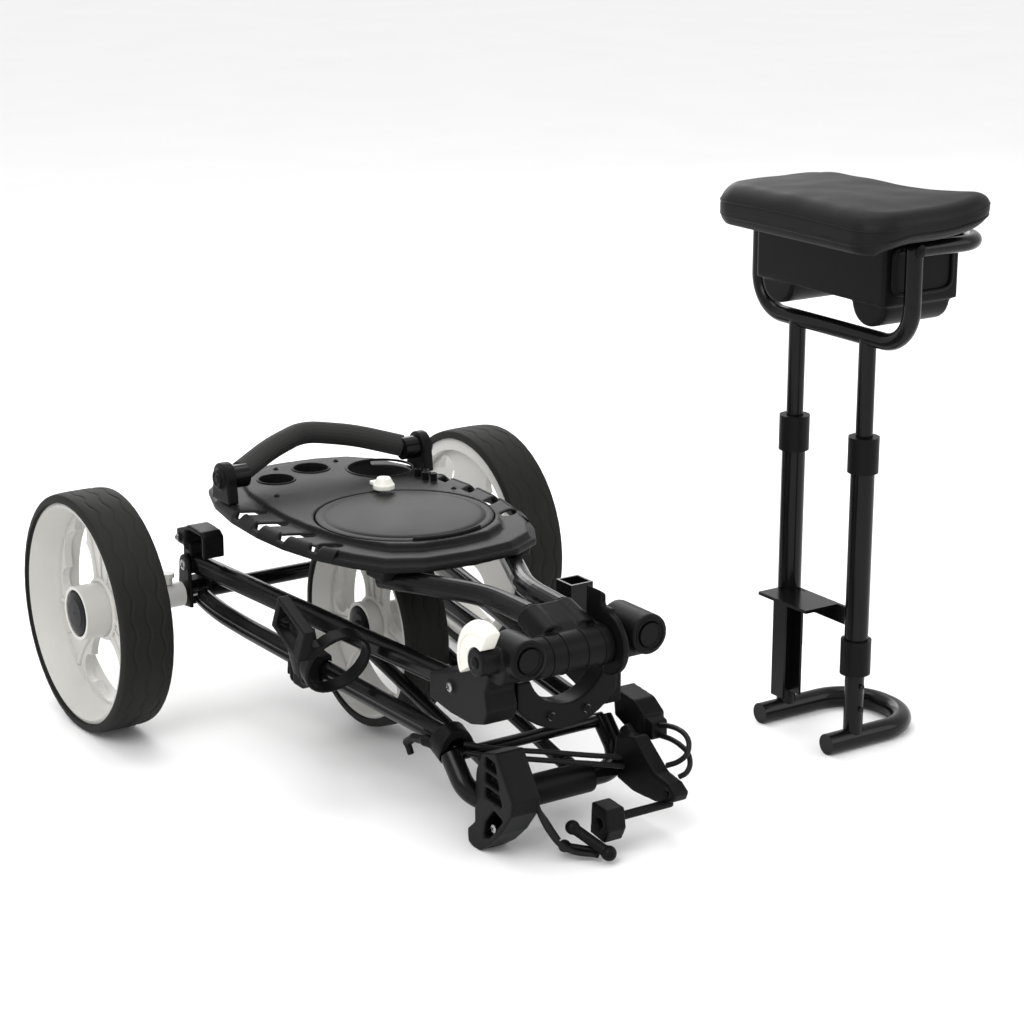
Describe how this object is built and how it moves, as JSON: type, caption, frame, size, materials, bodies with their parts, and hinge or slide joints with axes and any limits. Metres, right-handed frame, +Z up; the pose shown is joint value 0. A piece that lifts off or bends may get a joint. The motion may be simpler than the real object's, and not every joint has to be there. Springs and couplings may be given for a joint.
{
  "type": "folding golf push cart with detached seat",
  "caption": "Three-wheel golf push cart, folded flat, with a swing-over handle and console, cord-strap bag cradle, bottle ring and a clip-on padded seat standing beside it",
  "frame": {"origin": "middle of the whole object's footprint, on the floor", "axes": "+X runs along the rear axle from the left wheel towards the seat, +Y from the folding head towards the rear axle, +Z up"},
  "size_m": [0.8586, 0.8295, 0.663],
  "materials": {
    "paint": "black powder coat, satin to semi-gloss",
    "plastic": "moulded black, fine grain",
    "console": "moulded charcoal, satin",
    "white": "moulded white, satin",
    "ivory": "moulded ivory, soft gloss",
    "tread": "foam-filled tread, matte",
    "steel": "turned and plated",
    "foam": "dense foam sleeve, matte",
    "vinyl": "matte vinyl over foam",
    "elastic": "woven black sheath"
  },
  "bodies": {
    "chassis": {"lower_tubes": "paint", "rear_cross_tube": "paint", "rear_axle": "steel", "axle_bracket_left": "plastic", "axle_bracket_right": "plastic", "cradle_tube": "paint", "cradle_arm_left": "plastic", "cradle_arm_right": "plastic", "band_clamp": "plastic", "cord_block": "plastic", "cord_toggle": "plastic", "cord_hooks": "plastic", "bottle_clamp": "plastic", "bottle_ring": "plastic", "cord_cross_upper": "elastic", "cord_cross_lower": "elastic", "cord_drop_outer": "elastic", "cord_drop_inner": "elastic", "cord_loop_upper": "elastic", "cord_loop_lower": "elastic"},
    "upper_frame": {"upper_tubes": "paint", "frame_clips": "plastic", "head_left": "plastic", "head_right": "plastic", "bag_saddle": "plastic", "hinge_bolt": "steel", "hinge_caps": "plastic", "head_screws": "steel", "seat_socket": "paint"},
    "handle": {"handle_bracket": "plastic", "handle_tubes": "paint", "console_tray": "console", "grip_housings": "plastic", "tee_holder": "plastic"},
    "grip": {"grip_tube": "paint", "grip_foam": "foam"},
    "lid": {"console_lid": "console"},
    "lid_knob": {"lid_latch": "ivory"},
    "fold_lock": {"fold_latch": "ivory"},
    "front_fork": {"fork_legs": "paint", "fork_knuckle": "plastic", "front_axle": "steel"},
    "front_wheel": {"front_tyre": "tread", "front_rim": "white", "front_hub_caps": "plastic"},
    "left_wheel": {"left_tyre": "tread", "left_rim": "white", "left_hub_cap": "plastic"},
    "right_wheel": {"right_tyre": "tread", "right_rim": "white", "right_hub_cap": "plastic"},
    "left_release": {"release_button_left": "white"},
    "right_release": {"release_button_right": "white"},
    "seat_foot": {"seat_base": "paint"},
    "seat_tubes": {"seat_outer_tubes": "paint", "seat_collars": "plastic", "seat_plate": "paint"},
    "seat_top": {"seat_yoke": "paint"},
    "storage_box": {"seat_box": "plastic"},
    "cushion": {"seat_pad": "vinyl"}
  },
  "joints": [
    {"name": "frame_unfold", "type": "hinge", "parent": "chassis", "child": "upper_frame", "pos_m": [-0.12325, 0.2655, 0.181], "axis": [-1, 0, 0], "range_deg": [0, 100]},
    {"name": "handle_unfold", "type": "hinge", "parent": "upper_frame", "child": "handle", "pos_m": [-0.12325, -0.3395, 0.218], "axis": [1, 0, 0], "range_deg": [0, 165]},
    {"name": "grip_angle", "type": "hinge", "parent": "handle", "child": "grip", "pos_m": [-0.12325, 0.1895, 0.305], "axis": [1, 0, 0], "range_deg": [-12, 80]},
    {"name": "lid_open", "type": "hinge", "parent": "handle", "child": "lid", "pos_m": [-0.12325, -0.1005, 0.2865], "axis": [1, 0, 0], "range_deg": [0, 100]},
    {"name": "lid_knob_turn", "type": "hinge", "parent": "lid", "child": "lid_knob", "pos_m": [-0.09625, 0.0955, 0.29], "axis": [0, 0, 1], "range_deg": [0, 90]},
    {"name": "fold_lock_swing", "type": "hinge", "parent": "upper_frame", "child": "fold_lock", "pos_m": [-0.23625, -0.3395, 0.228], "axis": [1, 0, 0], "range_deg": [0, 35]},
    {"name": "fork_unfold", "type": "hinge", "parent": "chassis", "child": "front_fork", "pos_m": [-0.12325, -0.2961, 0.049], "axis": [-1, 0, 0], "range_deg": [0, 135]},
    {"name": "front_wheel_spin", "type": "hinge", "parent": "front_fork", "child": "front_wheel", "pos_m": [-0.12325, 0.0725, 0.133], "axis": [1, 0, 0], "continuous": true},
    {"name": "left_wheel_spin", "type": "hinge", "parent": "chassis", "child": "left_wheel", "pos_m": [-0.39625, 0.2655, 0.145], "axis": [1, 0, 0], "continuous": true},
    {"name": "right_wheel_spin", "type": "hinge", "parent": "chassis", "child": "right_wheel", "pos_m": [0.14975, 0.2655, 0.145], "axis": [1, 0, 0], "continuous": true},
    {"name": "left_release_pull", "type": "slide", "parent": "left_wheel", "child": "left_release", "axis": [0, 0, 1], "range_m": [0, 0.003], "stiffness_N_per_m": 400},
    {"name": "right_release_pull", "type": "slide", "parent": "right_wheel", "child": "right_release", "axis": [0, 0, 1], "range_m": [0, 0.003], "stiffness_N_per_m": 400},
    {"name": "seat_lift", "type": "slide", "parent": "chassis", "child": "seat_foot", "axis": [0, 0, 1], "range_m": [0, 0.3]},
    {"name": "seat_height", "type": "slide", "parent": "seat_foot", "child": "seat_tubes", "axis": [0, 0, 1], "range_m": [0, 0.06]},
    {"name": "post_height", "type": "slide", "parent": "seat_tubes", "child": "seat_top", "axis": [0, 0, 1], "range_m": [0, 0.08]},
    {"name": "box_tilt", "type": "hinge", "parent": "seat_top", "child": "storage_box", "pos_m": [0.30875, -0.2345, 0.606], "axis": [0, -1, 0], "range_deg": [0, 18]},
    {"name": "cushion_open", "type": "hinge", "parent": "storage_box", "child": "cushion", "pos_m": [0.39075, -0.2585, 0.619], "axis": [0, 1, 0], "range_deg": [0, 80]}
  ]
}
